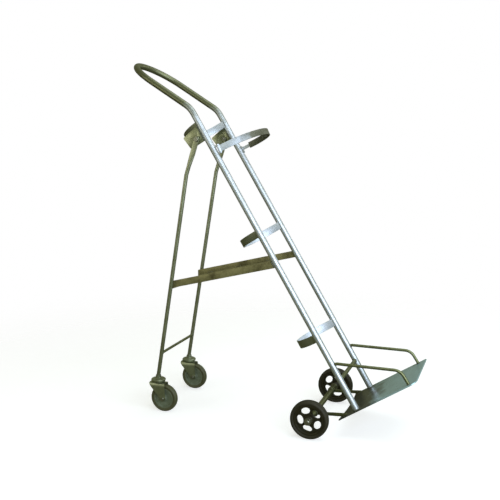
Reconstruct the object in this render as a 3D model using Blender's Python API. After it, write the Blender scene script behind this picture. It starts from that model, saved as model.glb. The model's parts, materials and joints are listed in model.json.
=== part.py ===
"""Gas cylinder trolley: bent-tube frame leaning on two rear legs, toe plate,
half-ring cradles, hinged retaining hoop, two fixed wheels and two swivel casters.

Metres, +Z up, the toe plate faces -Y. Distances u run forward (towards -Y) from
the main axle, v runs across the trolley (X), w is the height above the floor.
On the leaning frame, s runs up the rails from the toe plate and t runs square
to the rails, positive on the cylinder's side.
"""
import math

import bpy
from mathutils import Matrix, Vector
from mathutils.geometry import tessellate_polygon

for old in list(bpy.data.objects):
    bpy.data.objects.remove(old, do_unlink=True)

# ---------------------------------------------------------------- dimensions
AXLE_Y = -0.2150           # Y of the main axle, so that the footprint is centred
GAP = 0.0003               # clearance where welded or bolted pieces meet

LEAN = math.radians(31.1)  # rails back from vertical
FOOT_U, FOOT_W = 0.165, 0.110
RAIL_V = 0.135             # rail centre lines, either side of the middle
TUBE_R, TUBE_WALL = 0.0125, 0.002
RAIL_LEN = 1.325           # toe plate to the handle bend
HANDLE_BEND = math.radians(27.0)
HANDLE_LEN = 0.336         # handle bend to the top of the loop

PLATE_TILT = math.radians(33.0)
PLATE_T = 0.004
PLATE_BACK, PLATE_FRONT, PLATE_HALF = 0.078, 0.262, 0.155

WHEEL_R, WHEEL_W, WHEEL_V = 0.075, 0.036, 0.208
HUB_HALF = 0.021
AXLE_R = 0.008

CASTER_R, CASTER_W = 0.0575, 0.026
CASTER_U, CASTER_V, TRAIL = -0.670, 0.150, 0.027
LEG_V, LEG_R = 0.150, 0.008
LEG_LEAN = 0.1639          # forward run of the leg for each metre of height

RU, RW = -math.sin(LEAN), math.cos(LEAN)     # up the rail
TU, TW = math.cos(LEAN), math.sin(LEAN)      # out of the frame, to the cylinder
SIDES = (("near", -1.0), ("far", 1.0))


def G(u, v, w):
    return Vector((v, AXLE_Y - u, w))


def W(s, t, v):
    return G(FOOT_U + s * RU + t * TU, v, FOOT_W + s * RW + t * TW)


def rail_uw(s, t):
    return (FOOT_U + s * RU + t * TU, FOOT_W + s * RW + t * TW)


def leg_u(w):
    return CASTER_U + (w - 0.152) * LEG_LEAN


# ------------------------------------------------------------------- helpers
def make(name, verts, faces):
    me = bpy.data.meshes.new(name)
    me.from_pydata([tuple(v) for v in verts], [], faces)
    me.validate()
    me.update()
    ob = bpy.data.objects.new(name, me)
    bpy.context.scene.collection.objects.link(ob)
    vol = 0.0
    me.calc_loop_triangles()
    for tri in me.loop_triangles:
        a, b, c = (me.vertices[i].co for i in tri.vertices)
        vol += a.dot(b.cross(c))
    if vol < 0:
        me.flip_normals()
    return ob


def frame(origin, ex, ey):
    ex = ex.normalized()
    ey = (ey - ex * ey.dot(ex)).normalized()
    ez = ex.cross(ey)
    m = Matrix.Identity(4)
    for i, ax in enumerate((ex, ey, ez, origin)):
        for k in range(3):
            m[k][i] = ax[k]
    return m


def fillet(points, radii, steps=6):
    """Round the corners of a 3-D polyline."""
    out = [points[0]]
    for i in range(1, len(points) - 1):
        p, a, b = points[i], points[i - 1], points[i + 1]
        r = radii[i - 1]
        da, db = (a - p).normalized(), (b - p).normalized()
        ang = da.angle(db)
        if r <= 0 or abs(ang - math.pi) < 1e-4:
            out.append(p)
            continue
        tl = r / math.tan(ang / 2)
        c = p + (da + db).normalized() * (r / math.sin(ang / 2))
        v0, v1 = p + da * tl - c, p + db * tl - c
        tot = v0.angle(v1)
        for k in range(steps + 1):
            f = k / steps
            out.append(c + (v0 * math.sin((1 - f) * tot) + v1 * math.sin(f * tot)) / math.sin(tot))
    out.append(points[-1])
    return out


def circle(r, n, phase=0.0):
    return [(r * math.cos(2 * math.pi * k / n + phase), r * math.sin(2 * math.pi * k / n + phase)) for k in range(n)]


def loft(name, stations, inner=None):
    """Skin loops of equal length; inner is a second list of loops for a tube."""
    n = len(stations[0])
    verts, faces = [], []
    for loop in stations:
        verts += loop
    m = len(stations)
    for j in range(m - 1):
        for k in range(n):
            k2 = (k + 1) % n
            faces.append((j * n + k, j * n + k2, (j + 1) * n + k2, (j + 1) * n + k))
    if inner is None:
        faces.append(tuple(reversed(range(n))))
        faces.append(tuple((m - 1) * n + k for k in range(n)))
    else:
        o = len(verts)
        for loop in inner:
            verts += loop
        for j in range(m - 1):
            for k in range(n):
                k2 = (k + 1) % n
                faces.append((o + j * n + k2, o + j * n + k, o + (j + 1) * n + k, o + (j + 1) * n + k2))
        for k in range(n):
            k2 = (k + 1) % n
            faces.append((k2, k, o + k, o + k2))
            e = (m - 1) * n
            faces.append((e + k, e + k2, o + e + k2, o + e + k))
    return make(name, verts, faces)


def tube(name, path, r, wall=None, n=16, side=None):
    """Round bar or tube along a planar or gently curved path."""
    side = side or Vector((1, 0, 0))
    loops, inner = [], []
    prev = None
    for i, p in enumerate(path):
        if i == 0:
            d = path[1] - p
        elif i == len(path) - 1:
            d = p - path[i - 1]
        else:
            d = (path[i + 1] - p).normalized() + (p - path[i - 1]).normalized()
        d = d.normalized()
        if prev is None:
            ex = side - d * side.dot(d)
            if ex.length < 1e-6:
                ex = Vector((0, 1, 0)) - d * d.y
            ex.normalize()
        else:
            ex = prev[1].copy()
            ex.rotate(prev[0].rotation_difference(d))
            ex = (ex - d * ex.dot(d)).normalized()
        ey = d.cross(ex)
        prev = (d, ex)
        loops.append([p + ex * a + ey * b for a, b in circle(r, n)])
        if wall:
            inner.append([p + ex * a + ey * b for a, b in circle(r - wall, n)])
    return loft(name, loops, inner if wall else None)


def prism(name, loops, m, z0, z1):
    """Outline (first loop) with holes (other loops), extruded along the frame's z."""
    flat = [[Vector((x, y, 0)) for x, y in loop] for loop in loops]
    tris = tessellate_polygon(flat)
    pts = [p for loop in flat for p in loop]
    n = len(pts)
    verts = [m @ Vector((p.x, p.y, z0)) for p in pts] + [m @ Vector((p.x, p.y, z1)) for p in pts]
    faces = []
    for a, b, c in tris:
        pa, pb, pc = pts[a], pts[b], pts[c]
        area = (pb - pa).cross(pc - pa).z
        if abs(area) < 1e-14:
            continue
        if area < 0:
            b, c = c, b
        faces.append((a, c, b))
        faces.append((n + a, n + b, n + c))
    start = 0
    for i, loop in enumerate(flat):
        k = len(loop)
        area = sum(loop[j].x * loop[(j + 1) % k].y - loop[(j + 1) % k].x * loop[j].y for j in range(k))
        ccw = area > 0
        for j in range(k):
            a, b = start + j, start + (j + 1) % k
            if ccw == (i == 0):
                faces.append((a, b, n + b, n + a))
            else:
                faces.append((b, a, n + a, n + b))
        start += k
    return make(name, verts, faces)


def round_poly(pts, radii, steps=4):
    """2-D outline with rounded corners."""
    n = len(pts)
    out = []
    for i in range(n):
        p, a, b = Vector(pts[i]), Vector(pts[i - 1]), Vector(pts[(i + 1) % n])
        r = radii[i] if isinstance(radii, (list, tuple)) else radii
        if r <= 0:
            out.append(tuple(p))
            continue
        da, db = (a - p).normalized(), (b - p).normalized()
        ang = da.angle(db)
        tl = r / math.tan(ang / 2)
        c = p + (da + db).normalized() * (r / math.sin(ang / 2))
        v0, v1 = p + da * tl - c, p + db * tl - c
        tot = v0.angle(v1)
        for k in range(steps + 1):
            f = k / steps
            q = c + (v0 * math.sin((1 - f) * tot) + v1 * math.sin(f * tot)) / math.sin(tot)
            out.append(tuple(q))
    return out


def lathe(name, profile, m, n=24, phase=0.0):
    """Turn a closed profile of (radius, z) points about the frame's z."""
    verts, rows = [], []
    for r, z in profile:
        if r < 1e-9:
            rows.append([len(verts)])
            verts.append(m @ Vector((0, 0, z)))
        else:
            rows.append(list(range(len(verts), len(verts) + n)))
            verts += [m @ Vector((x, y, z)) for x, y in circle(r, n, phase)]
    faces = []
    cnt = len(rows)
    for i in range(cnt):
        a, b = rows[i], rows[(i + 1) % cnt]
        if len(a) == 1 and len(b) == 1:
            continue
        for k in range(n):
            k2 = (k + 1) % n
            if len(a) == 1:
                faces.append((a[0], b[k2], b[k]))
            elif len(b) == 1:
                faces.append((a[k], a[k2], b[0]))
            else:
                faces.append((a[k], a[k2], b[k2], b[k]))
    return make(name, verts, faces)


def cut(ob, cutter):
    cutter.hide_render = True
    cutter.display_type = "WIRE"
    mod = ob.modifiers.new("cut_" + cutter.name, "BOOLEAN")
    mod.operation = "DIFFERENCE"
    mod.solver = "EXACT"
    mod.object = cutter


def across(v, u, w, sign=1.0):
    """Frame whose z runs across the trolley (outwards for sign), x forward, y up."""
    ex = Vector((0, -1, 0))
    ey = Vector((0, 0, 1))
    m = Matrix.Identity(4)
    ez = Vector((sign, 0, 0))
    for i, ax in enumerate((ex, ey, ez, G(u, v, w))):
        for k in range(3):
            m[k][i] = ax[k]
    return m


def hex_ring(name, m, af, bore, z0, z1):
    """Hexagonal nut with a round bore."""
    r = af / math.sqrt(3)
    outer = []
    for k in range(6):
        a0 = math.pi / 3 * k
        for a in (a0 - 0.09, a0 + 0.09):
            outer.append((r * 0.985 * math.cos(a), r * 0.985 * math.sin(a)))
    return prism(name, [outer, circle(bore, 18)], m, z0, z1)


# --------------------------------------------------------------- main tube
def handle_point(d, v):
    a = LEAN + HANDLE_BEND
    u, w = rail_uw(RAIL_LEN, 0)
    return G(u - d * math.sin(a), v, w + d * math.cos(a))


straight = HANDLE_LEN - RAIL_V
path = [W(0.0010, 0, -RAIL_V), W(RAIL_LEN, 0, -RAIL_V), handle_point(straight, -RAIL_V)]
half = fillet(path, [0.10], 6)
loop = []
for k in range(1, 16):
    a = math.pi * k / 16
    loop.append(handle_point(straight + RAIL_V * math.sin(a), -RAIL_V * math.cos(a)))
other = [Vector((-p.x, p.y, p.z)) for p in reversed(half)]
tube("main_tube", half + loop + other, TUBE_R, TUBE_WALL, n=16)

# ---------------------------------------------------------------- toe plate
pc, ps = math.cos(PLATE_TILT), math.sin(PLATE_TILT)
plate_frame = Matrix.Identity(4)
for i, ax in enumerate((Vector((0, -pc, ps)), Vector((1, 0, 0)), Vector((0, ps, pc)), G(FOOT_U, 0, FOOT_W))):
    for k in range(3):
        plate_frame[k][i] = ax[k]
# x forward along the plate, y across, z out of its top face
back = []
for k in range(9):
    y = PLATE_HALF - 2 * PLATE_HALF * k / 8
    back.append((-PLATE_BACK + 0.013 * math.cos(math.pi / 2 * y / PLATE_HALF) ** 1.0, y))
outline = round_poly([(PLATE_FRONT, -PLATE_HALF), (PLATE_FRONT, PLATE_HALF)] + back,
                     [0.030, 0.007] + [0.0] * 9, 6)
prism("toe_plate", [outline], plate_frame, -PLATE_T, 0.0)

# --------------------------------------------------------------- guard rods
ROD_R = 0.006
for side, sg in SIDES:
    v = sg * RAIL_V
    pts = [W(0.190, TUBE_R + GAP, v), W(0.190, 0.0178, v), W(0.066, 0.226, v), W(0.0086, 0.228, v)]
    tube("guard_rod_" + side, fillet(pts, [0.016, 0.042], 6), ROD_R, n=12)

# ------------------------------------------------------------ cradle strips
RING_OUT = RAIL_V - TUBE_R - GAP
STRIP = 0.0035


def half_ring(name, s_mid, height, straight):
    """Strip behind the rails: straight sides, then a half round."""
    # x to the cylinder's side, y across, z up the rail
    m = Matrix.Identity(4)
    tv = W(0, 1, 0) - W(0, 0, 0)
    sv = W(1, 0, 0) - W(0, 0, 0)
    for i, ax in enumerate((tv, Vector((1, 0, 0)), sv, W(s_mid, 0, 0))):
        for k in range(3):
            m[k][i] = ax[k]
    steps = 24
    arc = [math.pi / 2 + math.pi * k / steps for k in range(steps + 1)]
    pts = []
    for r, angles in ((RING_OUT, arc), (RING_OUT - STRIP, arc[::-1])):
        first, last = (0.0, math.copysign(r, math.sin(angles[0]))), (0.0, math.copysign(r, math.sin(angles[-1])))
        pts += [first] + [(r * math.cos(a) - straight, r * math.sin(a)) for a in angles] + [last]
    return prism(name, [pts], m, -height / 2, height / 2)


half_ring("cradle_lower", 0.309, 0.032, 0.003)
half_ring("cradle_middle", 0.771, 0.030, 0.010)
half_ring("cradle_upper", 1.258, 0.028, 0.003)

# ------------------------------------------------------ cross tube, rail feet
tube("foot_cross_tube", [W(0.128, 0, -RING_OUT), W(0.128, 0, RING_OUT)], 0.008, n=12, side=Vector((0, 0, 1)))

# ------------------------------------------------- leg brackets, legs, bolts
BOLT_S, BOLT_T = 1.207, -0.036
bolt_u, bolt_w = rail_uw(BOLT_S, BOLT_T)


def side_frame(v, sg):
    """x up the rail, y to the cylinder's side, z outwards."""
    m = Matrix.Identity(4)
    sv = W(1, 0, 0) - W(0, 0, 0)
    tv = W(0, 1, 0) - W(0, 0, 0)
    for i, ax in enumerate((sv, tv, Vector((sg, 0, 0)), W(0, 0, v))):
        for k in range(3):
            m[k][i] = ax[k]
    return m


LEG_BASE_W = 0.1545
for side, sg in SIDES:
    m = side_frame(0.0, sg)
    poly = round_poly([(1.252, -0.0130), (1.241, -0.086), (1.186, -0.078), (1.186, -0.0130)], [0.0, 0.005, 0.008, 0.0], 3)
    hole = [(BOLT_S + x, BOLT_T + y) for x, y in circle(0.0054, 16)]
    prism("leg_bracket_" + side, [poly, hole], m, 0.1375, 0.1415)

    # leg: round tube with its top end pressed flat and bent to the bracket
    knee_w = 0.985
    knee_u = leg_u(knee_w)
    ux, wx = bolt_u - knee_u, bolt_w - knee_w
    length = math.hypot(ux, wx)
    dx, dz = ux / length, wx / length
    end = length + 0.013
    stations = []

    def ring(u, w, du, dw, vc, half_w, half_t, power):
        c = G(u, sg * vc, w)
        ex = G(u + dw, 0, w - du) - G(u, 0, w)      # across the leg, in its side view
        ey = Vector((sg, 0, 0))
        pts = []
        for k in range(16):
            a = 2 * math.pi * k / 16
            ca, sa = math.cos(a), math.sin(a)
            x = half_w * math.copysign(abs(ca) ** power, ca)
            y = half_t * math.copysign(abs(sa) ** power, sa)
            pts.append(c + ex * x + ey * y)
        return pts

    l0 = math.hypot(LEG_LEAN, 1.0)
    d0 = (LEG_LEAN / l0, 1 / l0)
    stations.append(ring(leg_u(LEG_BASE_W), LEG_BASE_W, d0[0], d0[1], LEG_V, LEG_R, LEG_R, 1))
    stations.append(ring(leg_u(0.955), 0.955, d0[0], d0[1], LEG_V, LEG_R, LEG_R, 1))
    md = Vector((d0[0] + dx, d0[1] + dz)).normalized()
    stations.append(ring(knee_u, knee_w, md.x, md.y, LEG_V, LEG_R, LEG_R, 1))
    for d, vc, hw, ht, pw in ((0.035, 0.1500, 0.0080, 0.0080, 1), (0.055, 0.1492, 0.0092, 0.0060, 0.75),
                              (0.075, 0.1478, 0.0105, 0.0036, 0.5), (0.090, 0.1470, 0.0110, 0.0025, 0.35),
                              (length, 0.1470, 0.0110, 0.0025, 0.35), (length + 0.006, 0.1470, 0.0098, 0.0025, 0.35),
                              (length + 0.011, 0.1470, 0.0065, 0.0025, 0.35), (end, 0.1470, 0.0030, 0.0022, 0.5)):
        stations.append(ring(knee_u + dx * d, knee_w + dz * d, dx, dz, vc, hw, ht, pw))
    leg = loft("leg_" + side, stations)
    bm = across(0.0, bolt_u, bolt_w, sg)
    hole = lathe("cutter_leg_" + side, [(0, 0.130), (0.0054, 0.130), (0.0054, 0.160), (0, 0.160)], bm, 16)
    cut(leg, hole)

    # M10 bolt from outside, nut inside
    lathe("leg_washer_" + side, [(0.0054, 0.1498), (0.0105, 0.1498), (0.0105, 0.1513), (0.0054, 0.1513)], bm, 20)
    lathe("leg_spacer_" + side, [(0.0054, 0.1418), (0.0100, 0.1418), (0.0100, 0.1442), (0.0054, 0.1442)], bm, 20)
    head = [(0, 0.1235), (0.0042, 0.1235), (0.0050, 0.1245), (0.0050, 0.1516), (0.0090, 0.1516), (0.0094, 0.1522),
            (0.0094, 0.1574), (0.0086, 0.1582), (0, 0.1582)]
    lathe("leg_bolt_" + side, head, bm, 18)
    hex_ring("leg_nut_" + side, bm, 0.017, 0.0053, 0.1288, 0.1372)

# legs' cross rod
rod_w = 0.248
tube("leg_cross_rod", [G(leg_u(rod_w), -(LEG_V - LEG_R - GAP), rod_w), G(leg_u(rod_w), LEG_V - LEG_R - GAP, rod_w)],
     0.0055, n=12, side=Vector((0, 0, 1)))

# ---------------------------------------------------------------- leg brace
# two flat bars on edge between the legs and the rails, with a sheet between
BRACE_SLOPE = 0.253
BAR_H = 0.028
bl = math.hypot(1, BRACE_SLOPE)
bdir = (1 / bl, BRACE_SLOPE / bl)
b_end_w = 0.6455
for side, sg in SIDES:
    # side view outline: from behind the leg to the back of the rail
    u_leg = -0.617
    w_leg = 0.567 + BRACE_SLOPE * (u_leg + 0.50)
    half_h = BAR_H / 2 * bl
    # the bar stops against the rail's back face
    def on_rail(k):
        # intersection of the bar's edge with the line parallel to the rail at t = -0.0128
        u0, w0 = rail_uw(0, -0.0129)
        c0 = 0.567 + k
        # w0 + s*RW = c0 + BRACE_SLOPE*(u0 + s*RU + 0.50)
        s = (c0 + BRACE_SLOPE * (u0 + 0.50) - w0) / (RW - BRACE_SLOPE * RU)
        return (u0 + s * RU, w0 + s * RW)
    top, low = on_rail(half_h), on_rail(-half_h)
    poly = [(u_leg, w_leg - half_h - 0.005), (u_leg + 0.045, w_leg - half_h + 0.045 * BRACE_SLOPE),
            low, top, (u_leg, w_leg + half_h)]
    poly = round_poly(poly, [0.003, 0.03, 0.0, 0.0, 0.003], 3)
    m = across(0.0, 0.0, 0.0, sg)
    prism("brace_bar_" + side, [poly], m, 0.1377, 0.1416)
su0, su1 = -0.588, -0.247
k = -BAR_H / 2 * bl + 0.006
poly = [(su0, 0.567 + k + BRACE_SLOPE * (su0 + 0.5)), (su1, 0.567 + k + BRACE_SLOPE * (su1 + 0.5)),
        (su1, 0.567 + k + 0.003 + BRACE_SLOPE * (su1 + 0.5)), (su0, 0.567 + k + 0.003 + BRACE_SLOPE * (su0 + 0.5))]
prism("brace_sheet", [poly], across(0.0, 0.0, 0.0, 1.0), -0.1374, 0.1374)

# ------------------------------------------------------------------ axle set
am = across(0.0, 0.0, WHEEL_R, 1.0)
ax_end = 0.2430
lathe("axle_rod", [(0, -ax_end), (0.0055, -ax_end), (AXLE_R, -ax_end + 0.0025), (AXLE_R, ax_end - 0.0025), (0.0055, ax_end), (0, ax_end)], am, 20)
lathe("axle_tube", [(AXLE_R + GAP, -0.1835), (0.0110, -0.1835), (0.0110, 0.1835), (AXLE_R + GAP, 0.1835)], am, 20)
for side, sg in SIDES:
    m = across(0.0, 0.0, WHEEL_R, sg)
    lathe("axle_washer_in_" + side, [(0.0084, 0.1839), (0.0155, 0.1839), (0.0155, 0.1865), (0.0084, 0.1865)], m, 24)
    lathe("axle_washer_out_" + side, [(0.0084, 0.2295), (0.0145, 0.2295), (0.0145, 0.2317), (0.0084, 0.2317)], m, 24)
    hex_ring("axle_nut_" + side, m, 0.024, 0.0083, 0.2320, 0.2400)
    # slim strap from the axle tube to the toe plate's back edge, welded on top of the plate
    eye, half_angle = 0.0155, math.radians(22)
    outer = []
    for k in range(15):
        a = half_angle + (2 * math.pi - 2 * half_angle) * k / 14
        outer.append((eye * math.cos(a), WHEEL_R + eye * math.sin(a)))

    def plate_w(u):
        return FOOT_W + (u - FOOT_U) * math.tan(PLATE_TILT) + 0.0006

    outer += [(0.1120, plate_w(0.1120)), (0.1300, plate_w(0.1300)), (0.1265, 0.0905)]
    strap = prism("axle_strap_" + side, [outer, [(x, WHEEL_R + y) for x, y in circle(0.0110 + GAP, 20)]],
                  across(0.0, 0.0, 0.0, sg), 0.1320, 0.1380)

# -------------------------------------------------------------- main wheels
HOLE_AT, HOLE_T, HOLE_RAD = 0.0362, 0.0190, 0.0133
for side, sg, phase in (("near", -1.0, 43.0), ("far", 1.0, 70.0)):
    m = across(sg * WHEEL_V, 0.0, WHEEL_R, sg)
    h = WHEEL_W / 2
    tyre = [(0.0602, -0.0145), (0.0622, -0.0168), (0.0690, -h), (0.0728, -h + 0.0028), (0.0745, -h + 0.0080), (WHEEL_R, 0.0),
            (0.0745, h - 0.0080), (0.0728, h - 0.0028), (0.0690, h), (0.0622, 0.0168), (0.0602, 0.0145)]
    lathe("wheel_tyre_" + side, tyre, m, 40)
    rim = [(0.0083, -HUB_HALF), (0.0165, -HUB_HALF), (0.0180, -HUB_HALF + 0.0015), (0.0200, -0.0045), (0.0500, -0.0045),
           (0.0520, -0.0140), (0.0540, -0.0150), (0.0599, -0.0150),
           (0.0599, 0.0150), (0.0540, 0.0150), (0.0520, 0.0140), (0.0500, 0.0045), (0.0200, 0.0045),
           (0.0180, HUB_HALF - 0.0015), (0.0165, HUB_HALF), (0.0083, HUB_HALF)]
    core = lathe("wheel_core_" + side, rim, m, 32)
    verts, faces = [], []
    for i in range(5):
        a = math.radians(phase + 72 * i)
        rad, tan = Vector((math.cos(a), math.sin(a))), Vector((-math.sin(a), math.cos(a)))
        base = len(verts)
        n = 14
        for z in (-0.02, 0.02):
            for k in range(n):
                b = 2 * math.pi * k / n
                q = rad * (HOLE_AT + HOLE_RAD * math.cos(b)) + tan * (HOLE_T * math.sin(b))
                verts.append(m @ Vector((q.x, q.y, z)))
        for k in range(n):
            k2 = (k + 1) % n
            faces.append((base + k, base + k2, base + n + k2, base + n + k))
        faces.append(tuple(base + k for k in reversed(range(n))))
        faces.append(tuple(base + n + k for k in range(n)))
    holes = make("cutter_wheel_" + side, verts, faces)
    cut(core, holes)

# ------------------------------------------------------------------ casters
for side, sg in SIDES:
    v0 = sg * CASTER_V
    stem = Matrix.Translation(G(CASTER_U, v0, 0.0))
    # fixed half: top race, stem and the cup that takes the leg
    lathe("caster_head_" + side, [(0, 0.1302), (0.0285, 0.1302), (0.0305, 0.1322), (0.0305, 0.1352), (0.0275, 0.1380),
                                  (0.0150, 0.1402), (0.0115, 0.1430), (0.0115, 0.1510), (0.0100, 0.1520), (0, 0.1520)], stem, 20)
    # swivelling half
    lathe("caster_race_" + side, [(0, 0.1236), (0.0240, 0.1236), (0.0280, 0.1262), (0.0290, 0.1282), (0.0270, 0.1298), (0, 0.1298)], stem, 20)
    # pressed yoke: ribbon along an inverted U, its width set by height
    top_w, tk, half_in = 0.1233, 0.0026, 0.0165
    hub_u, hub_w = CASTER_U + TRAIL, CASTER_R
    path = []
    for z in (-0.0105, -0.0093, -0.0060, 0.0, 0.0070, 0.0180, 0.0330, 0.0480):
        path.append((half_in + tk / 2, hub_w + z, 0))
    rc = 0.0085
    for k in range(1, 5):
        a = math.pi / 2 * k / 4
        path.append((half_in + tk / 2 - rc + rc * math.cos(a), top_w - tk / 2 - rc + rc * math.sin(a), 0))
    full = [(x, z) for x, z, _ in path] + [(-x, z) for x, z, _ in reversed(path)]
    loops = []
    for i, (x, z) in enumerate(full):
        if i == 0:
            d = Vector((full[1][0] - x, full[1][1] - z))
        elif i == len(full) - 1:
            d = Vector((x - full[i - 1][0], z - full[i - 1][1]))
        else:
            d = Vector((full[i + 1][0] - full[i - 1][0], full[i + 1][1] - full[i - 1][1]))
        d.normalize()
        nx, nz = -d.y * tk / 2, d.x * tk / 2
        f = min(1.0, max(0.0, (z - hub_w) / (top_w - 0.010 - hub_w)))
        uc = hub_u + (CASTER_U - hub_u) * f
        if z < hub_w:
            hw = math.sqrt(max(0.0, 0.0110 ** 2 - (hub_w - z) ** 2)) + 0.0012
        else:
            hw = 0.0122 + 0.0228 * f
        loops.append([G(uc - hw, v0 + x - nx, z - nz), G(uc + hw, v0 + x - nx, z - nz),
                      G(uc + hw, v0 + x + nx, z + nz), G(uc - hw, v0 + x + nx, z + nz)])
    yoke = loft("caster_yoke_" + side, loops)
    cm = across(v0, hub_u, hub_w, 1.0)
    drill = lathe("cutter_yoke_" + side, [(0, -0.030), (0.0043, -0.030), (0.0043, 0.030), (0, 0.030)], cm, 16)
    cut(yoke, drill)
    hexr = 0.0075
    bolt = [(0, -0.0262), (hexr * 0.9, -0.0262), (hexr, -0.0254), (hexr, -0.0205), (hexr * 0.9, -0.0197), (0.0040, -0.0197),
            (0.0040, 0.0275), (0.0032, 0.0283), (0, 0.0283)]
    lathe("caster_bolt_" + side, bolt, cm if sg < 0 else across(v0, hub_u, hub_w, -1.0), 18)
    hex_ring("caster_nut_" + side, cm if sg < 0 else across(v0, hub_u, hub_w, -1.0), 0.013, 0.0043, 0.0197, 0.0262)
    h = CASTER_W / 2
    tyre = [(0.0432, -0.0110), (0.0450, -0.0118), (0.0530, -h), (0.0560, -h + 0.0024), (0.0571, -h + 0.0060), (CASTER_R, 0.0),
            (0.0571, h - 0.0060), (0.0560, h - 0.0024), (0.0530, h), (0.0450, 0.0118), (0.0432, 0.0110)]
    lathe("caster_tyre_" + side, tyre, cm, 32)
    hub = [(0.0043, -0.0155), (0.0120, -0.0155), (0.0135, -0.0145), (0.0150, -0.0060), (0.0370, -0.0060), (0.0385, -0.0112), (0.0429, -0.0112),
           (0.0429, 0.0112), (0.0385, 0.0112), (0.0370, 0.0060), (0.0150, 0.0060), (0.0135, 0.0145), (0.0120, 0.0155), (0.0043, 0.0155)]
    lathe("caster_hub_" + side, hub, cm, 24)

# ------------------------------------------------------------- retaining hoop
HOOP_S, HOOP_T = 1.130, 0.0232
DROOP = math.radians(6.0)
HOOP_H, HOOP_TK = 0.025, 0.004
tv = W(0, 1, 0) - W(0, 0, 0)
sv = W(1, 0, 0) - W(0, 0, 0)
ht = tv * math.cos(DROOP) - sv * math.sin(DROOP)
hs = sv * math.cos(DROOP) + tv * math.sin(DROOP)
hoop_frame = Matrix.Identity(4)
# x forward, y across, z up the hinge pin
for i, ax in enumerate((ht, Vector((1, 0, 0)), hs, W(HOOP_S, HOOP_T, 0))):
    for k in range(3):
        hoop_frame[k][i] = ax[k]
R_H = RAIL_V
cx = 0.026
mid = [(0.0088, -R_H), (cx, -R_H)]
for k in range(1, 24):
    a = -math.pi / 2 + math.pi * k / 24
    mid.append((cx + R_H * math.cos(a), R_H * math.sin(a)))
mid.append((cx, R_H))
outer = [(x, y) for x, y in mid]
ht2 = HOOP_TK / 2


def offset(pts, d):
    out = []
    for i, p in enumerate(pts):
        a = pts[max(i - 1, 0)]
        b = pts[min(i + 1, len(pts) - 1)]
        t = Vector((b[0] - a[0], b[1] - a[1])).normalized()
        out.append((p[0] + t.y * d, p[1] - t.x * d))
    return out


out_side = offset(mid, ht2)
in_side = offset(mid, -ht2)
# rolled eye round the pin at the near end
eye_r = 0.0072
eye = []
for k in range(15):
    a = math.radians(18 + (342 - 18) * k / 14)
    eye.append((eye_r * math.cos(a), -R_H + eye_r * math.sin(a)))
outline = list(reversed(in_side)) + eye + out_side
prism("hoop_band", [outline, [(x, -R_H + y) for x, y in circle(0.0036, 14)]], hoop_frame, -HOOP_H / 2, HOOP_H / 2)
# thin tongue riveted to the free end; it lies against the far rail's catch plate
ty0 = R_H + ht2 + GAP
tongue = [(cx + 0.021, ty0), (cx + 0.021, ty0 + 0.003), (-0.0055, ty0 + 0.003), (-0.0055, ty0)]
# the band's end curves in ahead of the arm's end, so the tongue keeps to the straight tangent
prism("hoop_tongue", [tongue], hoop_frame, -0.0065, 0.0065)

# hinge knuckles on the near rail, and the pin
for tag, z0, z1, xe in (("upper", 0.0129, 0.0179, -0.0119), ("lower", -0.0179, -0.0129, -0.0085)):
    pts = []
    for k in range(13):
        a = math.radians(-120 + 240 * k / 12)
        pts.append((0.0070 * math.cos(a), -R_H + 0.0070 * math.sin(a)))
    pts += [(xe, -R_H + 0.0060), (xe, -R_H - 0.0060)]
    prism("hoop_knuckle_" + tag, [pts, [(x, -R_H + y) for x, y in circle(0.0036, 14)]], hoop_frame, z0, z1)
pin_frame = hoop_frame @ Matrix.Translation((0, -R_H, 0))
lathe("hoop_pin", [(0, -0.0205), (0.0026, -0.0205), (0.0033, -0.0198), (0.0033, 0.0182), (0.0056, 0.0182), (0.0056, 0.0200),
                   (0.0036, 0.0216), (0, 0.0216)], pin_frame, 16)
# catch plate on the far rail
prism("catch_plate", [[(HOOP_S - 0.017, TUBE_R + GAP), (HOOP_S + 0.012, TUBE_R + GAP),
                       (HOOP_S + 0.012, TUBE_R + GAP + 0.003), (HOOP_S - 0.017, TUBE_R + GAP + 0.003)]],
      side_frame(0.0, 1.0), 0.1285, 0.1440)
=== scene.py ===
"""Gas cylinder trolley: finished steel, cast wheels, rubber tyres and weld beads
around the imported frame. Metres, +Z up; s runs up the rails, t square to them on
the cylinder's side, u forward from the main axle, v across, w above the floor.
"""
import json
import math

import bpy
from mathutils import Matrix, Vector


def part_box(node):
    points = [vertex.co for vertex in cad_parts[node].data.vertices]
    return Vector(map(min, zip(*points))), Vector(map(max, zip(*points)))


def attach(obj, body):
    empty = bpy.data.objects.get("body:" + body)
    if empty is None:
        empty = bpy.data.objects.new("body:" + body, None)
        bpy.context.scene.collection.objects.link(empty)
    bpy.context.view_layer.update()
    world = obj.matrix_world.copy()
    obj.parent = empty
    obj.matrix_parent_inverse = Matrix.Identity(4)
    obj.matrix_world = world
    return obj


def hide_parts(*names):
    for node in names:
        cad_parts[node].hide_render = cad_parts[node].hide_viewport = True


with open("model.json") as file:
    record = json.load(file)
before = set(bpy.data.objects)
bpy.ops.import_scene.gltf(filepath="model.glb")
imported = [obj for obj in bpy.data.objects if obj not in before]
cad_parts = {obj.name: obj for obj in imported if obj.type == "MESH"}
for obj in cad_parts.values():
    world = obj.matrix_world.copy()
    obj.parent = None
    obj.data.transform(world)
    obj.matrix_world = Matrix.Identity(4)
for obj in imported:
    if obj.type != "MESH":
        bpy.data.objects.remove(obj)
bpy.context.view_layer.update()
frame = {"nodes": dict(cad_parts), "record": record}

# ---------------------------------------------------------------- dimensions
axle_lo, axle_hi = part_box("axle_rod")
AXLE_Y = (axle_lo.y + axle_hi.y) / 2
LEAN = math.radians(31.1)
FOOT_U, FOOT_W = 0.165, 0.110
RAIL_V, TUBE_R, TUBE_WALL = 0.135, 0.0125, 0.002
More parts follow.
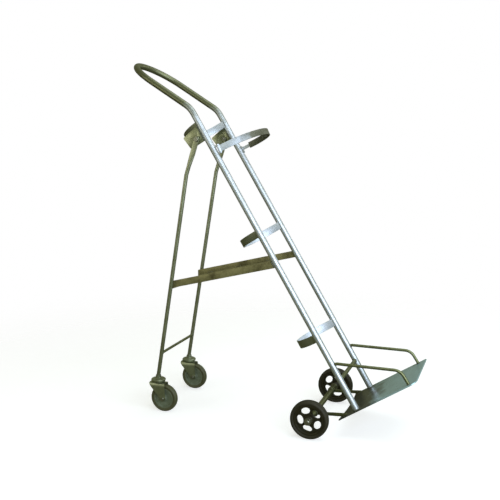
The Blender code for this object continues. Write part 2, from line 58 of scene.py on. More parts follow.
RAIL_LEN, HANDLE_LEN, HANDLE_BEND = 1.325, 0.336, math.radians(27.0)
WELD_GAP = 0.0003
RING_OUT = RAIL_V - TUBE_R - WELD_GAP
ROD_R = 0.006
WHEEL_R, WHEEL_V = 0.075, 0.208
CASTER_R, CASTER_U, CASTER_V, TRAIL = 0.0575, -0.670, 0.150, 0.027
LEG_V, LEG_R, LEG_LEAN, LEG_FOOT_W = 0.150, 0.008, 0.1639, 0.152
BRACE_AT_U, BRACE_AT_W, BRACE_SLOPE, BAR_H = -0.5, 0.567, 0.253, 0.028
HOOP_S, HOOP_T, DROOP = 1.130, 0.0232, math.radians(6.0)
PLATE_TILT = math.radians(33.0)
SIDES = (("near", -1.0), ("far", 1.0))
RU, RW = -math.sin(LEAN), math.cos(LEAN)
TU, TW = math.cos(LEAN), math.sin(LEAN)
SMOOTH_UNDER = math.radians(32.0)


def G(u, v, w):
    """Point u ahead of the main axle, v across, w above the floor."""
    return Vector((v, AXLE_Y - u, w))


def W(s, t, v):
    """Point s up the rails, t off them on the cylinder's side, v across."""
    return G(FOOT_U + s * RU + t * TU, v, FOOT_W + s * RW + t * TW)


def leg_u(w):
    """How far forward the legs' lower, straight part is at height w."""
    return CASTER_U + (w - LEG_FOOT_W) * LEG_LEAN


def brace_w(u, k=0.0):
    """Height of the brace bars' middle at u, raised by k."""
    return BRACE_AT_W + k + BRACE_SLOPE * (u - BRACE_AT_U)


def plate_top(u, v):
    """Point just over the toe plate's top face."""
    return G(u, v, FOOT_W + (u - FOOT_U) * math.tan(PLATE_TILT) + 0.0003)


S_DIR = (W(1, 0, 0) - W(0, 0, 0)).normalized()
T_DIR = (W(0, 1, 0) - W(0, 0, 0)).normalized()
X_DIR = Vector((1, 0, 0))
Z_DIR = Vector((0, 0, 1))


# ------------------------------------------------------------ mesh functions
class Build:
    """Collects faces for one mesh object."""

    def __init__(self):
        self.verts, self.faces = [], []

    def loops(self, rings, closed=False):
        """Skin a row of rings; closed joins the last to the first, else both ends are capped."""
        base, n, m = len(self.verts), len(rings[0]), len(rings)
        for ring in rings:
            self.verts += [tuple(p) for p in ring]
        for j in range(m if closed else m - 1):
            a, b = base + j * n, base + ((j + 1) % m) * n
            for k in range(n):
                k2 = (k + 1) % n
                self.faces.append((a + k, a + k2, b + k2, b + k))
        if not closed:
            self.faces.append(tuple(base + k for k in reversed(range(n))))
            self.faces.append(tuple(base + (m - 1) * n + k for k in range(n)))

    def object(self, name, mat, body, replaces=()):
        """Make the object, with its faces pointing outward."""
        me = bpy.data.meshes.new(name)
        me.from_pydata(self.verts, [], self.faces)
        me.validate()
        me.shade_smooth()
        me.set_sharp_from_angle(angle=SMOOTH_UNDER)
        volume = 0.0
        me.calc_loop_triangles()
        for tri in me.loop_triangles:
            a, b, c = (me.vertices[i].co for i in tri.vertices)
            volume += a.dot(b.cross(c))
        if volume < 0:
            me.flip_normals()
        ob = bpy.data.objects.new(name, me)
        bpy.context.scene.collection.objects.link(ob)
        me.materials.append(mat)
        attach(ob, body)
        if replaces:
            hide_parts(*replaces)
        return ob


def turns(n):
    """n angles, evenly round a circle."""
    return [2 * math.pi * k / n for k in range(n)]


def square_to(axis):
    """Two unit directions square to an axis and to each other."""
    ex = axis.orthogonal().normalized()
    return ex, axis.normalized().cross(ex)


def circle(centre, ex, ey, radius, n):
    return [centre + (ex * math.cos(a) + ey * math.sin(a)) * radius for a in turns(n)]


def sweep_rings(path, radius, sides, closed=False):
    """Rings square to a path; radius is a number or a function of arc length."""
    rings, run, prev_d, ex = [], 0.0, None, None
    n = len(path)
    for i, p in enumerate(path):
        if closed:
            d = (path[(i + 1) % n] - path[i - 1]).normalized()
        else:
            d = (path[min(i + 1, n - 1)] - path[max(i - 1, 0)]).normalized()
        if ex is None:
            ex = X_DIR if abs(d.x) < 0.9 else Z_DIR
        else:
            ex = ex.copy()
            ex.rotate(prev_d.rotation_difference(d))
        ex = (ex - d * ex.dot(d)).normalized()
        ey = d.cross(ex)
        prev_d = d
        if i:
            run += (p - path[i - 1]).length
        r = radius(run) if callable(radius) else radius
        rings.append(circle(p, ex, ey, r, sides))
    return rings


def lathe_rings(profile, m, n):
    """One ring for each (radius, z) point of a closed profile."""
    return [[m @ Vector((r * math.cos(a), r * math.sin(a), z)) for a in turns(n)]
            for r, z in profile]


def across(v, u, w, sign=1.0):
    """Frame whose z runs across the trolley, x forward, y up."""
    m = Matrix.Identity(4)
    for i, ax in enumerate((Vector((0, -1, 0)), Z_DIR, Vector((sign, 0, 0)), G(u, v, w))):
        for k in range(3):
            m[k][i] = ax[k]
    return m


# ----------------------------------------------------------------- materials
def node(nt, kind, inputs=(), **props):
    """Shader or geometry node; an input is either another node's output or a value."""
    nd = nt.nodes.new(kind)
    for key, value in props.items():
        setattr(nd, key, value)
    for key, value in dict(inputs).items():
        if isinstance(value, bpy.types.NodeSocket):
            nt.links.new(value, nd.inputs[key])
        else:
            nd.inputs[key].default_value = value
    return nd


def new_material(name, metallic):
    mat = bpy.data.materials.new(name)
    mat.use_nodes = True
    bsdf = mat.node_tree.nodes["Principled BSDF"]
    bsdf.inputs["Metallic"].default_value = metallic
    return mat, mat.node_tree, bsdf


def rgba(c):
    return (*c, 1.0)


def mix_colour(nt, factor, a, b):
    """Colour a where factor is 0, b where it is 1."""
    return node(nt, "ShaderNodeMix", {0: factor, 6: a, 7: b}, data_type="RGBA").outputs[2]


def ranged(nt, value, a, b, lo, hi):
    """value carried from the range a to b onto lo to hi, and held at its ends."""
    return node(nt, "ShaderNodeMapRange", {"Value": value, "From Min": a, "From Max": b,
                                           "To Min": lo, "To Max": hi}).outputs[0]


def noise(nt, vector, scale, detail=4.0, rough=0.55):
    return node(nt, "ShaderNodeTexNoise", {"Vector": vector, "Scale": scale, "Detail": detail,
                                           "Roughness": rough}).outputs[0]


GRIME = (0.07, 0.065, 0.035)
PATCHES, SPECKS, GRIME_SPOTS, PAINTED_SHADE_EDGE = 16.0, 190.0, 40.0, 22.0    # noise scales
GRAIN_DEPTH = 0.0003


def steel(name, bright, dark, rough, tilt=0.0, stretch=(420.0, 420.0, 16.0), metallic=0.9,
          stain=0.55, grime_top=0.32, painted_shade=None, bump=0.06, speckle=0.22):
    """Worn bright steel: drawn grain along one axis, painted olive shade, grime near the floor.

    The painted-shade argument is (direction, from, to, most), in object coordinates: a dull
    olive painted shade that grows between two distances along a direction and there covers
    most of the steel; on the toe plate it is a painted dark reflection.
    """
    mat, nt, bsdf = new_material(name, metallic)
    obj = node(nt, "ShaderNodeTexCoord").outputs["Object"]
    turned = node(nt, "ShaderNodeMapping", {"Vector": obj, "Rotation": (tilt, 0.0, 0.0)})
    grain_at = node(nt, "ShaderNodeMapping", {"Vector": turned.outputs[0], "Scale": stretch})
    grain = noise(nt, grain_at.outputs[0], 1.0, 3.0)
    patches = ranged(nt, noise(nt, obj, PATCHES, 6.0, 0.65), 0.42, 0.68, 0.0, stain)
    specks = ranged(nt, noise(nt, obj, SPECKS, 3.0), 0.62, 0.74, 0.0, speckle)
    height = node(nt, "ShaderNodeSeparateXYZ", {"Vector": obj}).outputs[2]
    low = ranged(nt, height, 0.03, grime_top, 0.45, 0.0)
    grimy = node(nt, "ShaderNodeMath", {0: low, 1: noise(nt, obj, GRIME_SPOTS, 5.0)},
                 operation="MULTIPLY").outputs[0]
    colour = mix_colour(nt, patches, rgba(bright), rgba(dark))
    colour = mix_colour(nt, ranged(nt, grain, 0.3, 0.7, 0.0, 0.12), colour, rgba(dark))
    colour = mix_colour(nt, specks, colour, rgba([c * 0.55 for c in dark]))
    colour = mix_colour(nt, grimy, colour, rgba(GRIME))
    # painted shade: a dull olive laid over the steel by position, standing in for shade (on the toe
    # plate, for a dark reflection)
    if painted_shade:
        along, start, full, most = painted_shade
        reach = node(nt, "ShaderNodeVectorMath", {0: obj, 1: along}, operation="DOT_PRODUCT")
        edge = ranged(nt, noise(nt, obj, PAINTED_SHADE_EDGE), 0.3, 0.7, -0.02, 0.02)
        patchy = node(nt, "ShaderNodeMath", {0: reach.outputs["Value"], 1: edge}, operation="ADD")
        cover = ranged(nt, patchy.outputs[0], start, full, 0.0, most)
        colour = mix_colour(nt, cover, colour, rgba(dark))
    nt.links.new(colour, bsdf.inputs["Base Color"])
    gloss = ranged(nt, grain, 0.25, 0.75, rough - 0.04, rough + 0.06)
    nt.links.new(gloss, bsdf.inputs["Roughness"])
    relief = node(nt, "ShaderNodeBump", {"Strength": bump, "Distance": GRAIN_DEPTH, "Height": grain})
    nt.links.new(relief.outputs[0], bsdf.inputs["Normal"])
    return mat


DUST_PATCHES, DUST = 34.0, 0.5


def rough_solid(name, base, dusty, rough, grain_scale, depth, metallic=0.0):
    """Cast, moulded or rubber surface: fine grain, lighter dust in patches."""
    mat, nt, bsdf = new_material(name, metallic)
    obj = node(nt, "ShaderNodeTexCoord").outputs["Object"]
    grain = noise(nt, obj, grain_scale, 5.0, 0.7)
    dusting = ranged(nt, noise(nt, obj, DUST_PATCHES, 6.0, 0.7), 0.45, 0.72, 0.0, DUST)
    colour = mix_colour(nt, dusting, rgba(base), rgba(dusty))
    crests = ranged(nt, grain, 0.55, 0.8, 0.0, 0.4)
    colour = mix_colour(nt, crests, colour, rgba([c * 1.7 for c in base]))
    nt.links.new(colour, bsdf.inputs["Base Color"])
    nt.links.new(ranged(nt, grain, 0.3, 0.7, rough - 0.08, rough + 0.1), bsdf.inputs["Roughness"])
    bump = node(nt, "ShaderNodeBump", {"Strength": 0.5, "Distance": depth, "Height": grain})
    nt.links.new(bump.outputs[0], bsdf.inputs["Normal"])
    return mat


TUBE_BRIGHT, TUBE_DARK = (0.68, 0.72, 0.76), (0.15, 0.155, 0.055)
BAND_BRIGHT = (0.74, 0.79, 0.86)
HOOP_BRIGHT, HOOP_DARK = (0.80, 0.86, 0.94), (0.085, 0.078, 0.024)
BRACE_BRIGHT, BRACE_DARK = (0.29, 0.26, 0.11), (0.075, 0.062, 0.018)
PLATE_BRIGHT, PLATE_DARK = (0.42, 0.60, 0.62), (0.050, 0.038, 0.013)
BLACK, BLACK_DUSTY = (0.020, 0.016, 0.004), (0.046, 0.038, 0.013)

# painted shade: handle loop, near halves of the cradles, hoop from its front round; painted dark
# reflection: back of the toe plate
HANDLE_PAINTED_SHADE = (Z_DIR, 1.20, 1.27, 0.92)
CRADLE_PAINTED_SHADE = (-X_DIR, 0.0, 0.07, 0.88)
PLATE_PAINTED_REFLECTION = (Vector((-0.167, 1.0, 0.0)), -0.46, -0.41, 0.9)
HOOP_WAY = T_DIR + X_DIR * 0.5
hoop_at = frame["nodes"]["hoop_band"].matrix_world.inverted()
HOOP_PAINTED_SHADE = (HOOP_WAY, (hoop_at @ W(HOOP_S, 0.08, -0.13)).dot(HOOP_WAY),
                (hoop_at @ W(HOOP_S, 0.03, 0.13)).dot(HOOP_WAY), 0.93)

rail_steel = steel("rail_steel", TUBE_BRIGHT, TUBE_DARK, 0.42, tilt=LEAN, stain=0.25,
                   metallic=0.82, painted_shade=HANDLE_PAINTED_SHADE, bump=0.02)
band_steel = steel("band_steel", BAND_BRIGHT, TUBE_DARK, 0.46, stretch=(40.0, 200.0, 200.0),
                   stain=0.15, metallic=0.5, painted_shade=CRADLE_PAINTED_SHADE, speckle=0.1)
hoop_steel = steel("hoop_steel", HOOP_BRIGHT, HOOP_DARK, 0.46, stretch=(60.0, 60.0, 200.0),
                   stain=0.1, metallic=0.4, painted_shade=HOOP_PAINTED_SHADE, speckle=0.1)
leg_steel = steel("leg_steel", (0.40, 0.42, 0.28), TUBE_DARK, 0.38, tilt=-math.atan(LEG_LEAN))
cross_steel = steel("cross_steel", (0.22, 0.235, 0.12), TUBE_DARK, 0.38,
                    stretch=(16.0, 420.0, 420.0))
brace_steel = steel("brace_steel", BRACE_BRIGHT, BRACE_DARK, 0.55,
                    stretch=(300.0, 20.0, 300.0), metallic=0.45, stain=0.9)
plate_steel = steel("plate_steel", PLATE_BRIGHT, PLATE_DARK, 0.30, tilt=-PLATE_TILT,
                    metallic=0.45, stretch=(90.0, 6.0, 90.0), stain=0.14, grime_top=0.10,
                    speckle=0.05, painted_shade=PLATE_PAINTED_REFLECTION, bump=0.02)
pressed_steel = steel("pressed_steel", (0.44, 0.48, 0.33), (0.13, 0.135, 0.06), 0.38,
                      stretch=(120.0, 120.0, 120.0))
bolt_steel = steel("bolt_steel", (0.38, 0.38, 0.30), (0.13, 0.12, 0.07), 0.32,
                   stretch=(200.0, 200.0, 200.0))
weld_steel = steel("weld_steel", (0.26, 0.27, 0.20), (0.09, 0.085, 0.05), 0.40,
                   stretch=(600.0, 600.0, 600.0), stain=0.8)
core_iron = rough_solid("core_iron", BLACK, (0.046, 0.038, 0.012), 0.48, 900.0, 0.0004,
                        metallic=0.2)
# caster hubs: their own olive tone, lightened further as a painted highlight
hub_moulding = rough_solid("hub_moulding", (0.14, 0.16, 0.10), (0.30, 0.34, 0.25), 0.34,
                           700.0, 0.0002)
tyre_rubber = rough_solid("tyre_rubber", BLACK, BLACK_DUSTY, 0.64, 1100.0, 0.0003)
caster_rubber = rough_solid("caster_rubber", (0.070, 0.070, 0.028), (0.13, 0.13, 0.065), 0.52,
                            900.0, 0.0003)

BY_SLOT = {"tube_steel": rail_steel, "plate_steel": plate_steel,
           "pressed_steel": pressed_steel, "fastener": bolt_steel,
           "wheel_core": core_iron, "caster_hub": hub_moulding, "tyre": tyre_rubber}
# nodes whose steel is not their slot's; the first row that fits a name is used
BY_START = (
    ("cradle_", band_steel),
    ("hoop_band", hoop_steel),
    (("leg_bolt", "leg_nut", "leg_washer", "leg_spacer"), bolt_steel),
    (("leg_cross_rod", "foot_cross", "axle_tube", "axle_strap", "guard_rod"), cross_steel),
    ("leg_", leg_steel),
    ("brace_", brace_steel))


# --------------------------------------------- edges and shading of CAD nodes
def smooth_group():
    """Geometry nodes: smooth every face, and keep edges over SMOOTH_UNDER sharp."""
    group = bpy.data.node_groups.new("smooth_by_angle", "GeometryNodeTree")
    group.interface.new_socket("Geometry", in_out="INPUT", socket_type="NodeSocketGeometry")
    group.interface.new_socket("Geometry", in_out="OUTPUT", socket_type="NodeSocketGeometry")
    start, end = group.nodes.new("NodeGroupInput"), group.nodes.new("NodeGroupOutput")
    faces = node(group, "GeometryNodeSetShadeSmooth", {0: start.outputs[0]}, domain="FACE")
    angle = node(group, "GeometryNodeInputMeshEdgeAngle")
    soft = node(group, "FunctionNodeCompare", {0: angle.outputs[0], 1: SMOOTH_UNDER},
                data_type="FLOAT", operation="LESS_EQUAL")
    edges = node(group, "GeometryNodeSetShadeSmooth", {0: faces.outputs[0], 2: soft.outputs[0]},
                 domain="EDGE")
    group.links.new(edges.outputs[0], end.inputs[0])
    return group


SMOOTH = smooth_group()


def finish_node(ob, mat, bevel):
    """Material, joined corners, fine edges and shading for a CAD node that stays."""
    ob.data.materials.clear()
    ob.data.materials.append(mat)
    weld = ob.modifiers.new("join", "WELD")
    weld.merge_threshold = 0.00001
    if bevel:
        edge = ob.modifiers.new("edge", "BEVEL")
        edge.width, edge.segments = bevel, 2
        edge.limit_method, edge.angle_limit = "ANGLE", math.radians(40.0)
    shade = ob.modifiers.new("shade", "NODES")
    shade.node_group = SMOOTH


def by_start(rows, name, otherwise):
    """The value of the first row whose start fits the name."""
    return next((value for start, value in rows if name.startswith(start)), otherwise)


BEVELS = (
    ("toe_plate", 0.0008),
    (("cradle_", "hoop_band", "brace_", "leg_bracket", "axle_strap", "catch_plate"), 0.0006),
    ("hoop_tongue", 0.0005),
    ("wheel_core", 0.0007))


def finish_nodes():
    for sub in frame["record"]["subparts"]:
        name = sub["node"]
        mat = by_start(BY_START, name, BY_SLOT[sub["material_slot"]])
        finish_node(frame["nodes"][name], mat, by_start(BEVELS, name, 0.0))


finish_nodes()


# ----------------------------------------------------------------- main tube
FOOT_GAP, BEND_R, BEND_STEPS, LOOP_STEPS, TUBE_SIDES = 0.0010, 0.10, 14, 48, 36


def handle_point(d, v):
    """Point d past the bend in the rails, v across."""
    a = LEAN + HANDLE_BEND
    return G(FOOT_U + RAIL_LEN * RU - d * math.sin(a), v,
             FOOT_W + RAIL_LEN * RW + d * math.cos(a))


def fillet(p0, p, p1, r, steps):
    """Arc of radius r that rounds the corner p between p0 and p1."""
    da, db = (p0 - p).normalized(), (p1 - p).normalized()
    corner = da.angle(db)
    c = p + (da + db).normalized() * (r / math.sin(corner / 2))
    back = r / math.tan(corner / 2)
    v0, v1 = p + da * back - c, p + db * back - c
    arc = v0.angle(v1)
    return [c + (v0 * math.sin((1 - k / steps) * arc) + v1 * math.sin(k / steps * arc)) / math.sin(arc)
            for k in range(steps + 1)]


def main_tube():
    """Rails, bends and handle loop as one hollow tube, rounder than the CAD's."""
    straight = HANDLE_LEN - RAIL_V
    foot, bend = W(FOOT_GAP, 0, -RAIL_V), W(RAIL_LEN, 0, -RAIL_V)
    top = handle_point(straight, -RAIL_V)
    half = [foot] + fillet(foot, bend, top, BEND_R, BEND_STEPS) + [top]
    loop = [handle_point(straight + RAIL_V * math.sin(a), -RAIL_V * math.cos(a))
            for a in (math.pi * k / LOOP_STEPS for k in range(1, LOOP_STEPS))]
    path = half + loop + [Vector((-p.x, p.y, p.z)) for p in reversed(half)]
    outer = sweep_rings(path, TUBE_R, TUBE_SIDES)
    inner = sweep_rings(path, TUBE_R - TUBE_WALL, TUBE_SIDES)
    b = Build()
    b.loops(outer + inner[::-1], closed=True)
    ob = b.object("main_tube_fine", rail_steel, "frame", ["main_tube"])


main_tube()


# --------------------------------------------------------------------- tyres
def mirrored(half):
    """Profile from one bead round to the other, from points with z below 0."""
    return half + [(r, -z) for r, z in reversed(half)]


# (radius, z) down the tread from the bead to the middle, with two grooves
MAIN_TYRE = mirrored([
    (0.0602, -0.0145), (0.0622, -0.0168), (0.0638, -0.0172), (0.0645, -0.0179),
    (0.0662, -0.0180), (0.0690, -0.0180), (0.0712, -0.0172), (0.0728, -0.0152),
    (0.0739, -0.0122), (0.0744, -0.0098), (0.0734, -0.0092), (0.0734, -0.0078),
    (0.0747, -0.0072), (0.0750, -0.0022), (0.0738, -0.0016), (0.0738, -0.0004)])
CASTER_TYRE = mirrored([
    (0.0432, -0.0110), (0.0450, -0.0118), (0.0475, -0.0121), (0.0490, -0.0128),
    (0.0530, -0.0130), (0.0548, -0.0122), (0.0560, -0.0106), (0.0568, -0.0080),
    (0.0572, -0.0050), (0.0575, -0.0006)])
LATHE_SIDES = 96


def tyres():
    for side, sg in SIDES:
        main = across(sg * WHEEL_V, 0.0, WHEEL_R, sg)
        caster = across(sg * CASTER_V, CASTER_U + TRAIL, CASTER_R)
        for name, profile, mat, body, m in (
                ("wheel_tyre_" + side, MAIN_TYRE, tyre_rubber, "wheel_" + side, main),
                ("caster_tyre_" + side, CASTER_TYRE, caster_rubber, "caster_wheel_" + side, caster)):
            b = Build()
            b.loops(lathe_rings(profile, m, LATHE_SIDES), closed=True)
            b.object(name + "_fine", mat, body, [name])


tyres()


# --------------------------------------------------- raised lips on the cores
HOLES, HOLE_AT, HOLE_T, HOLE_RAD, LIP_R, CORE_FACE = 5, 0.0362, 0.0190, 0.0133, 0.0011, 0.0045
HOLE_PHASE = {"near": 43.0, "far": 70.0}
LIP_STEPS, LIP_SIDES = 36, 8


def core_lips():
    """A raised lip round each lightening hole, on both faces of the cast cores."""
    for side, sg in SIDES:
        m = across(sg * WHEEL_V, 0.0, WHEEL_R, sg)
        b = Build()
        for i in range(HOLES):
            a = math.radians(HOLE_PHASE[side] + 360 / HOLES * i)
            out = Vector((math.cos(a), math.sin(a), 0))
            around = Vector((-math.sin(a), math.cos(a), 0))
            for z in (-CORE_FACE, CORE_FACE):
                face = Vector((0, 0, z))
                path = [m @ (out * (HOLE_AT + (HOLE_RAD + LIP_R) * math.cos(c))
                             + around * ((HOLE_T + LIP_R) * math.sin(c)) + face)
                        for c in turns(LIP_STEPS)]
                b.loops(sweep_rings(path, LIP_R, LIP_SIDES, closed=True), closed=True)
        b.object("wheel_core_lips_" + side, core_iron, "wheel_" + side)


core_lips()


# ---------------------------------------------------------------- weld beads
STEP, PITCH, BEAD_SIDES = 0.0005, 0.0019, 10
BEAD = 0.0016


def bead_radius(r):
    """Radius along a bead of size r, with the ripples of a hand-made weld."""
    return lambda run: r * (0.86 + 0.26 * abs(math.sin(math.pi * run / PITCH)))


def line_bead(b, p0, p1, r):
    """Straight bead that tapers at both ends."""
    length = (p1 - p0).length
    n = max(6, int(length / STEP))
    path = [p0.lerp(p1, k / n) for k in range(n + 1)]
    ripple = bead_radius(r)

    def taper(run):
        return ripple(run) * max(0.25, min(1.0, run / r, (length - run) / r))

    b.loops(sweep_rings(path, taper, BEAD_SIDES))


def ring_bead(b, centre, normal, radius, r):
    """Bead round the foot of a bar or tube."""
    ex, ey = square_to(normal)
    path = circle(centre, ex, ey, radius, max(24, int(2 * math.pi * radius / STEP)))
    b.loops(sweep_rings(path, bead_radius(r), BEAD_SIDES, closed=True), closed=True)


CRADLES = ((0.309, 0.032), (0.771, 0.030), (1.258, 0.028))  # place up the rails, bead length
CRADLE_EDGES = ((0.0012, -0.0006), (-0.0040, 0.0004))       # off the rails' middle, inset
FOOT_CROSS_S, FOOT_CROSS_RING, RAIL_FOOT_S = 0.128, 0.0082, 0.0014
ROD_TOP_S, ROD_LIFT, ROD_END_S, ROD_END_T = 0.190, 0.0004, 0.0088, 0.228
AXLE_RING, STRAP_FACES, STRAP_FOOT = 0.0112, (0.1320, 0.1380), (0.1125, 0.1285)
BRACKET_T, BRACKET_FACES, BRACKET_S = 0.0126, (0.1366, 0.1424), (1.187, 1.251)
LEG_BEAD_W, CROSS_ROD_W, CROSS_ROD_R = 0.1532, 0.248, 0.0055
BRACE_T, BRACE_FACES, BRACE_LEG_V, BRACE_LEG_HALF = 0.0129, (0.1370, 0.1423), 0.1418, 0.006
BRACE_LEG_U = -0.605    # about where the bars cross the legs
SHEET_TACKS, TACK, SHEET_V, SHEET_UP = (-0.57, -0.44, -0.30), 0.026, 0.1372, 0.0092
CATCH_S, CATCH_V, CATCH_BEAD = (-0.017, 0.012), (0.1305, 0.1395), 0.0015    # far rail only
BAR_HALF = BAR_H / 2 * math.hypot(1, BRACE_SLOPE)


def cradle_beads(b, sg):
    for s, length in CRADLES:
        for t, inset in CRADLE_EDGES:
            v = sg * (RING_OUT + inset)
            line_bead(b, W(s - length / 2, t, v), W(s + length / 2, t, v), BEAD)


def foot_beads(b, sg):
    """Foot cross tube, rail, guard rod's two ends, and the axle strap."""
    ring_bead(b, W(FOOT_CROSS_S, 0, sg * RING_OUT), X_DIR, FOOT_CROSS_RING, BEAD)
    ring_bead(b, W(RAIL_FOOT_S, 0, sg * RAIL_V), S_DIR, TUBE_R, 0.0019)
    ring_bead(b, W(ROD_TOP_S, TUBE_R + ROD_LIFT, sg * RAIL_V), T_DIR, ROD_R, 0.0015)
    ring_bead(b, W(ROD_END_S, ROD_END_T, sg * RAIL_V), S_DIR, ROD_R, BEAD)
    for x in STRAP_FACES:
        ring_bead(b, G(0, sg * x, WHEEL_R), X_DIR, AXLE_RING, 0.0012)
        line_bead(b, *(plate_top(u, sg * x) for u in STRAP_FOOT), 0.0011)


def leg_beads(b, sg):
    """Leg bracket on its rail, leg on its caster head, and the leg cross rod."""
    for v in BRACKET_FACES:
        line_bead(b, *(W(s, -BRACKET_T, sg * v) for s in BRACKET_S), BEAD)
    ring_bead(b, G(leg_u(LEG_BEAD_W), sg * LEG_V, LEG_BEAD_W), Z_DIR, LEG_R, 0.0018)
    ring_bead(b, G(leg_u(CROSS_ROD_W), sg * (LEG_V - LEG_R), CROSS_ROD_W), X_DIR,
              CROSS_ROD_R, 0.0015)


def brace_beads(b, sg):
    """Brace bar on its rail, on its leg, and the sheet tacked to the bar."""
    back_u, back_w = FOOT_U - BRACE_T * TU, FOOT_W - BRACE_T * TW
    ends = [(brace_w(back_u, k) - back_w) / (RW - BRACE_SLOPE * RU)
            for k in (-BAR_HALF, BAR_HALF)]
    for v in BRACE_FACES:
        line_bead(b, *(W(s, -BRACE_T, sg * v) for s in ends), BEAD)

    def along_bar(u0, u1, v, k, r):
        line_bead(b, G(u0, sg * v, brace_w(u0, k)), G(u1, sg * v, brace_w(u1, k)), r)

    for k in (-BAR_HALF, BAR_HALF):
        u = leg_u(brace_w(BRACE_LEG_U, k))
        along_bar(u - BRACE_LEG_HALF, u + BRACE_LEG_HALF, BRACE_LEG_V, k, 0.0017)
    for u in SHEET_TACKS:
        along_bar(u, u + TACK, SHEET_V, -BAR_HALF + SHEET_UP, 0.0014)


def catch_beads(b, sg):
    for s in CATCH_S:
        line_bead(b, *(W(HOOP_S + s, TUBE_R, sg * v) for v in CATCH_V), CATCH_BEAD)


def welds():
    for name, beads, sides in (("weld_cradles", cradle_beads, SIDES),
                               ("weld_foot", foot_beads, SIDES),
                               ("weld_legs", leg_beads, SIDES),
                               ("weld_brace", brace_beads, SIDES),
                               ("weld_catch", catch_beads, SIDES[1:])):
        b = Build()
        for _, sg in sides:
            beads(b, sg)
        b.object(name, weld_steel, "frame")


welds()


# ------------------------------------------------------------- small fittings
DOME = ((-0.1, 1.0), (0.12, 1.0), (0.45, 0.9), (0.75, 0.68), (0.93, 0.38), (1.0, 0.08))
DOME_SIDES = 24
RIVETS, RIVET_LIFT = (0.029, 0.039), 0.0053
KINGPIN_W = 0.1207


def dome(b, centre, axis, r, h):
    """Rivet head standing on a face, from its foot up along axis."""
    ex, ey = square_to(axis)
    b.loops([circle(centre + axis.normalized() * (h * lift), ex, ey, r * share, DOME_SIDES)
             for lift, share in DOME])


def fittings():
    """Two rivets in the hoop's tongue and a kingpin head under each caster head."""
    hoop_t = T_DIR * math.cos(DROOP) - S_DIR * math.sin(DROOP)
    rivets = Build()
    for x in RIVETS:
        foot = W(HOOP_S, HOOP_T, 0) + hoop_t * x + X_DIR * (RAIL_V + RIVET_LIFT)
        dome(rivets, foot, X_DIR, 0.0028, 0.0016)
    rivets.object("hoop_rivets", bolt_steel, "hoop")
    for side, sg in SIDES:
        pin = Build()
        dome(pin, G(CASTER_U, sg * CASTER_V, KINGPIN_W), -Z_DIR, 0.0065, 0.0022)
        pin.object("caster_kingpin_" + side, bolt_steel, "caster_" + side)


fittings()


# --------------------------------------------------------------------- stage
def lay_floor():
    """Pale floor that fades out to the backdrop. Seen directly it is pale; in the
    steel's reflections it is dim, which keeps the tubes' edges dark."""
    bpy.ops.mesh.primitive_circle_add(vertices=96, radius=14.0, fill_type="NGON",
                                      location=(0, 0, -0.0002))
    floor = bpy.context.object
    floor.name = "floor"
    mat, nt, bsdf = new_material("floor_pale", 0.0)
    bsdf.inputs["Base Color"].default_value = (0.60, 0.60, 0.59, 1)
    bsdf.inputs["Roughness"].default_value = 0.85
    obj = node(nt, "ShaderNodeTexCoord").outputs["Object"]
    away = node(nt, "ShaderNodeVectorMath", {0: obj}, operation="LENGTH").outputs["Value"]
    fade = node(nt, "ShaderNodeMapRange", {"Value": away, "From Min": 0.6, "From Max": 2.6},
                interpolation_type="SMOOTHSTEP")
    pale = node(nt, "ShaderNodeEmission", {"Color": (1, 1, 1, 1), "Strength": 0.62})
    lit = node(nt, "ShaderNodeAddShader", {0: bsdf.outputs[0], 1: pale.outputs[0]})
    clear = node(nt, "ShaderNodeBsdfTransparent")
    blend = node(nt, "ShaderNodeMixShader",
                 {0: fade.outputs[0], 1: lit.outputs[0], 2: clear.outputs[0]})
    dim = node(nt, "ShaderNodeBsdfDiffuse", {"Color": (0.17, 0.17, 0.08, 1)})
    seen = node(nt, "ShaderNodeLightPath").outputs["Is Camera Ray"]
    both = node(nt, "ShaderNodeMixShader", {0: seen, 1: dim.outputs[0], 2: blend.outputs[0]})
    nt.links.new(both.outputs[0], nt.nodes["Material Output"].inputs[0])
    floor.data.materials.append(mat)


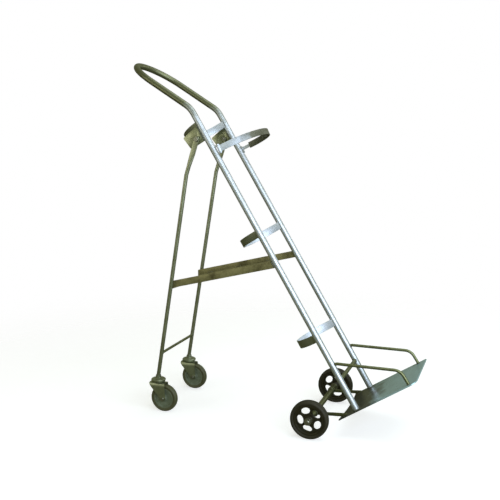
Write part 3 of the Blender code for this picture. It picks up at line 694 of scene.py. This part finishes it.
def backdrop():
    """White to the camera, a dim olive in the steel's reflections."""
    world = bpy.data.worlds.new("studio")
    bpy.context.scene.world = world
    world.use_nodes = True
    nt = world.node_tree
    room = nt.nodes["Background"]
    room.inputs["Color"].default_value = (0.86, 0.90, 0.54, 1)
    room.inputs["Strength"].default_value = 0.27
    white = node(nt, "ShaderNodeBackground", {"Color": (1, 1, 1, 1), "Strength": 1.0})
    seen = node(nt, "ShaderNodeLightPath").outputs["Is Camera Ray"]
    both = node(nt, "ShaderNodeMixShader", {0: seen, 1: room.outputs[0], 2: white.outputs[0]})
    nt.links.new(both.outputs[0], nt.nodes["World Output"].inputs[0])


LIT_POINT = Vector((0, 0, 0.65))
LIGHTS = (  # name, place, size, watts, colour
    ("key", (-1.8, -3.2, 1.7), 3.0, 118.0, (0.72, 0.82, 1.0)),
    ("fill", (-3.2, -1.7, 1.9), 2.0, 44.0, (0.72, 0.82, 1.0)),
    ("side", (-2.6, 2.4, 1.4), 1.4, 14.0, (1.0, 0.98, 0.88)),
    ("top", (0.2, -0.9, 3.6), 2.4, 46.0, (0.80, 0.88, 1.0)),
    ("rim", (2.8, -1.8, 1.8), 1.4, 9.0, (0.92, 0.97, 1.0)))


def lights():
    for name, at, size, watts, colour in LIGHTS:
        light = bpy.data.lights.new(name, "AREA")
        light.size, light.energy, light.color = size, watts, colour
        ob = bpy.data.objects.new(name, light)
        bpy.context.scene.collection.objects.link(ob)
        ob.location = at
        ob.rotation_euler = (LIT_POINT - Vector(at)).to_track_quat("-Z", "Y").to_euler()


lay_floor()
backdrop()
lights()


def camera():
    """At the photograph's angle: 69.7 degrees round to the left, looking 8.9 down."""
    data = bpy.data.cameras.new("camera")
    data.sensor_width = 36.0
    data.lens = 52.35
    cam = bpy.data.objects.new("camera", data)
    bpy.context.scene.collection.objects.link(cam)
    yaw, pitch, roll = math.radians(20.33), math.radians(-8.89), math.radians(0.23)
    look = Vector((math.cos(pitch) * math.cos(yaw), math.cos(pitch) * math.sin(yaw),
                   math.sin(pitch)))
    cam.location = (-2.7543, -0.9150, 1.1374)
    cam.rotation_mode = "QUATERNION"
    turn = Matrix.Rotation(roll, 3, "Z").to_quaternion()
    cam.rotation_quaternion = look.to_track_quat("-Z", "Y") @ turn
    bpy.context.scene.camera = cam


camera()
bpy.context.scene.view_settings.view_transform = "Standard"
